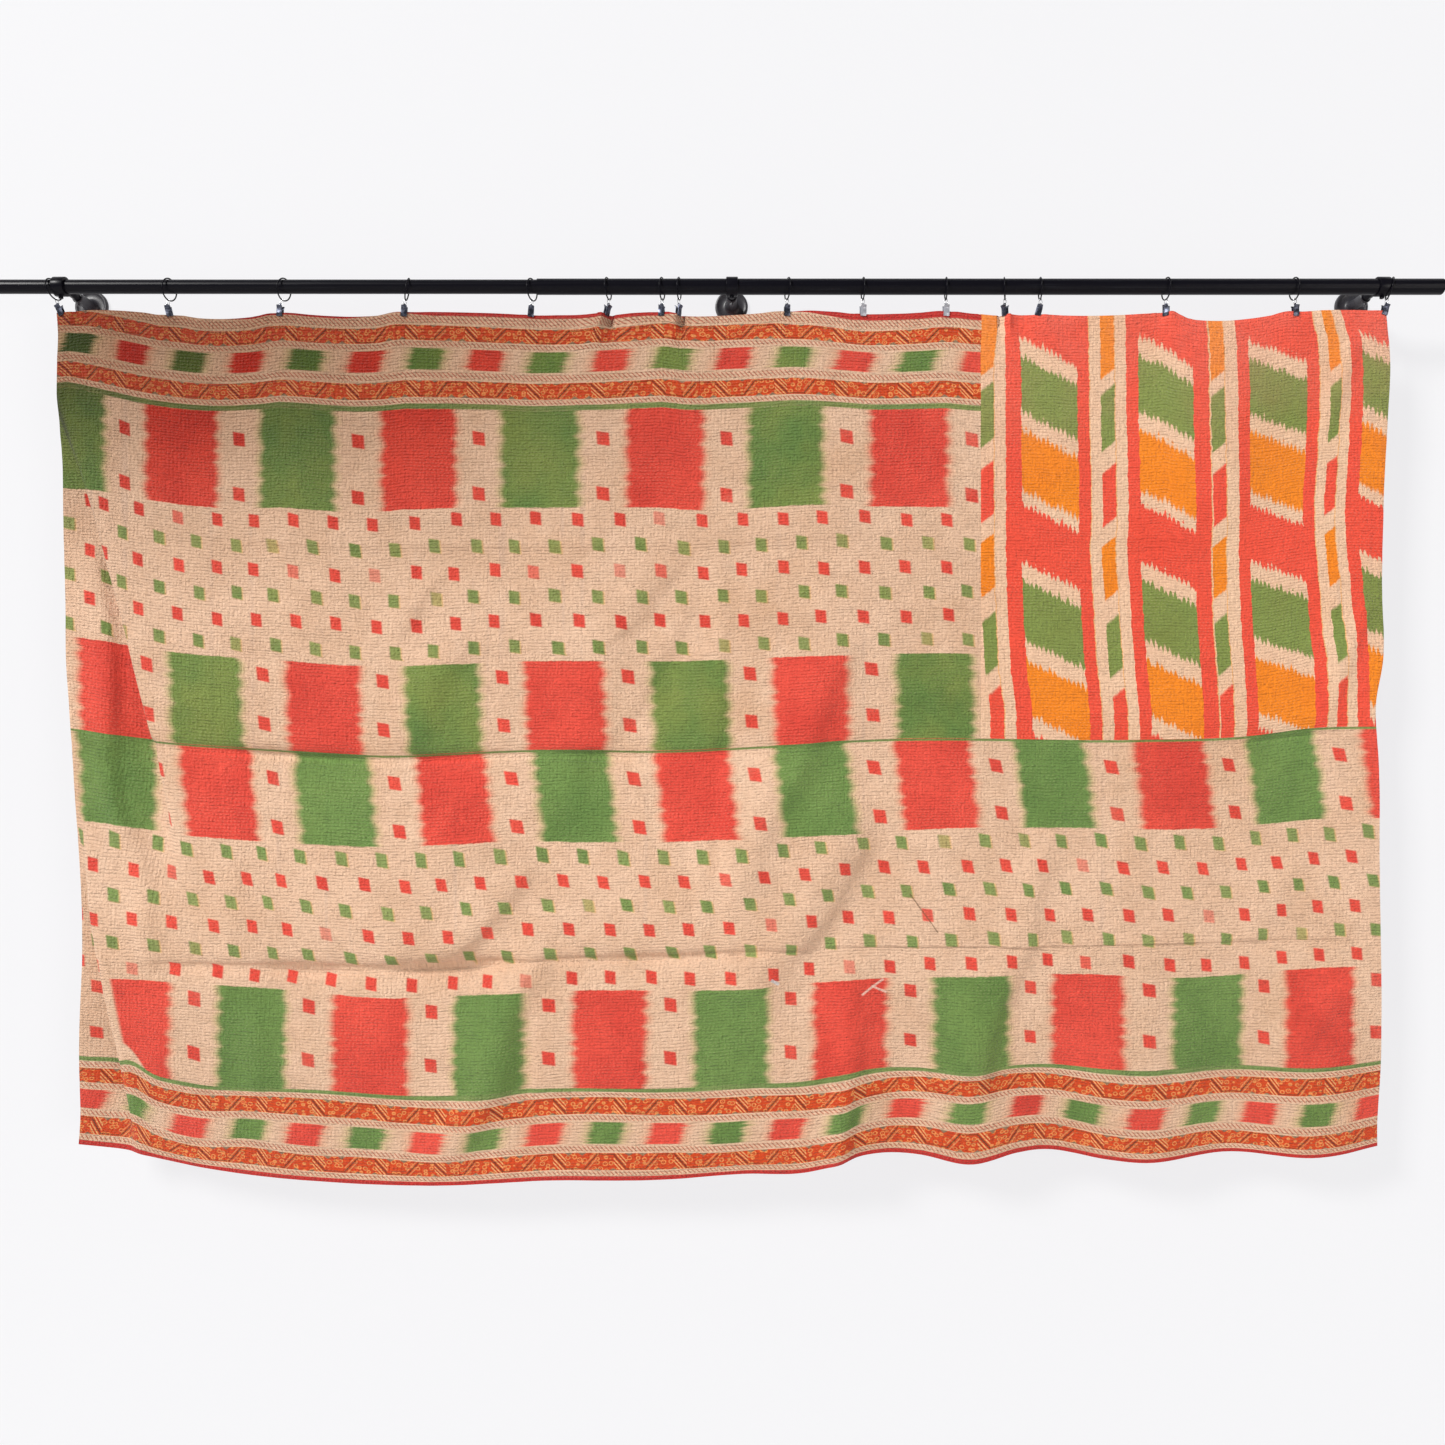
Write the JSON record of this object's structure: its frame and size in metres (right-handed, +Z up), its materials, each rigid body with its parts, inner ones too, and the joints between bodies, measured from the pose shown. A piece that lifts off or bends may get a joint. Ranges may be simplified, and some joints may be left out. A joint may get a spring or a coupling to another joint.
{
  "type": "kantha quilt hung by clip rings from a telescopic wall rod with brackets",
  "caption": "Wide kantha quilt, stitched from printed cotton saris, hung flat by ring clips from a black telescopic rod on wall brackets.",
  "frame": {"origin": "centre of the middle bracket's back face, which lies on the wall", "axes": "+X along the rod to the viewer's right, +Y into the wall, +Z up; the quilt's shown face looks along -Y"},
  "size_m": [2.3735, 0.114, 1.4988],
  "materials": {
    "black_enamel": "satin",
    "bright_wire": "bright",
    "clip_steel": "dark nickel",
    "printed_cotton": "matt, stitched"
  },
  "bodies": {
    "root": {"arm_centre": "black_enamel", "arm_left": "black_enamel", "arm_right": "black_enamel", "clip_01": "clip_steel", "clip_02": "clip_steel", "clip_03": "clip_steel", "clip_04": "clip_steel", "clip_05": "clip_steel", "clip_06": "clip_steel", "clip_07": "clip_steel", "clip_08": "clip_steel", "clip_09": "clip_steel", "clip_10": "clip_steel", "clip_11": "clip_steel", "clip_12": "clip_steel", "clip_13": "clip_steel", "clip_14": "clip_steel", "clip_15": "clip_steel", "clip_16": "clip_steel", "flange_centre": "black_enamel", "flange_left": "black_enamel", "flange_right": "black_enamel", "link_01": "bright_wire", "link_02": "bright_wire", "link_03": "bright_wire", "link_04": "bright_wire", "link_05": "bright_wire", "link_06": "bright_wire", "link_07": "bright_wire", "link_08": "bright_wire", "link_09": "bright_wire", "link_10": "bright_wire", "link_11": "bright_wire", "link_12": "bright_wire", "link_13": "bright_wire", "link_14": "bright_wire", "link_15": "bright_wire", "link_16": "bright_wire", "quilt": "printed_cotton", "ring_01": "black_enamel", "ring_02": "black_enamel", "ring_03": "black_enamel", "ring_04": "black_enamel", "ring_05": "black_enamel", "ring_06": "black_enamel", "ring_07": "black_enamel", "ring_08": "black_enamel", "ring_09": "black_enamel", "ring_10": "black_enamel", "ring_11": "black_enamel", "ring_12": "black_enamel", "ring_13": "black_enamel", "ring_14": "black_enamel", "ring_15": "black_enamel", "ring_16": "black_enamel", "rod_cap_left": "black_enamel", "rod_cap_right": "black_enamel", "rod_thick": "black_enamel", "rod_thin": "black_enamel"}
  },
  "joints": []
}
